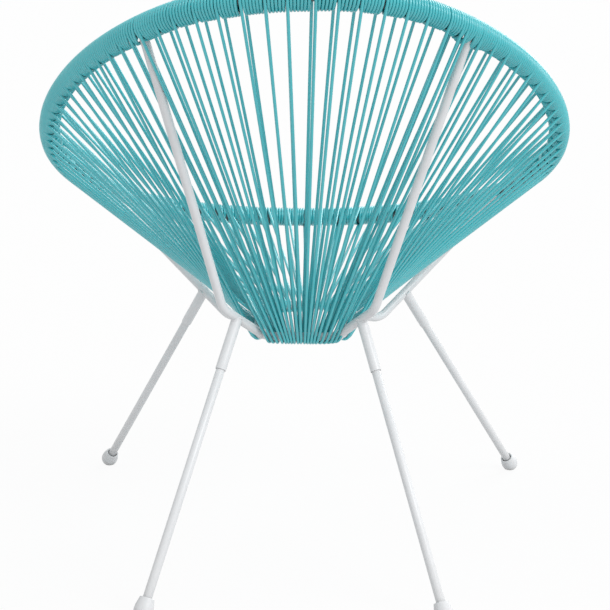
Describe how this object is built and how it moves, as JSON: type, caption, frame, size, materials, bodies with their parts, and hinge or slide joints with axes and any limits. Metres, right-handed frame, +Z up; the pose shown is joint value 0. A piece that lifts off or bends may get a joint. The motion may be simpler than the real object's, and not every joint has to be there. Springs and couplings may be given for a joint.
{
  "type": "acapulco chair",
  "caption": "Pear-shaped lounge chair of coloured vinyl cord strung between a wrapped steel hoop and a small ring, on slanting tubular legs with plastic feet.",
  "frame": {"origin": "on the floor under the middle of the chair's box", "axes": "+Z up, the sitter faces -Y so that the tall back is at +Y, and the chair's left side is at +X"},
  "size_m": [0.7416, 0.699, 0.7965],
  "materials": {
    "frame": "white powder coat, semi-gloss",
    "cord": "extruded vinyl, satin",
    "foot": "moulded, satin",
    "hardware": "zinc plated"
  },
  "bodies": {
    "root": {"hoop": "frame", "small_ring": "frame", "rear_left_support": "frame", "rear_left_socket": "frame", "rear_left_socket_nut": "hardware", "rear_left_leg": "frame", "rear_left_leg_stud": "hardware", "rear_left_foot_cap": "foot", "rear_right_support": "frame", "rear_right_socket": "frame", "rear_right_socket_nut": "hardware", "rear_right_leg": "frame", "rear_right_leg_stud": "hardware", "rear_right_foot_cap": "foot", "front_left_support": "frame", "front_left_socket": "frame", "front_left_socket_nut": "hardware", "front_left_leg": "frame", "front_left_leg_stud": "hardware", "front_left_foot_cap": "foot", "front_right_support": "frame", "front_right_socket": "frame", "front_right_socket_nut": "hardware", "front_right_leg": "frame", "front_right_leg_stud": "hardware", "front_right_foot_cap": "foot", "cord_back_1": "cord", "cord_back_2": "cord", "cord_back_3": "cord", "cord_left_1": "cord", "cord_left_2": "cord", "cord_left_3": "cord", "cord_front_1": "cord", "cord_front_2": "cord", "cord_front_3": "cord", "cord_front_4": "cord", "cord_right_1": "cord", "cord_right_2": "cord", "cord_right_3": "cord"}
  },
  "joints": []
}
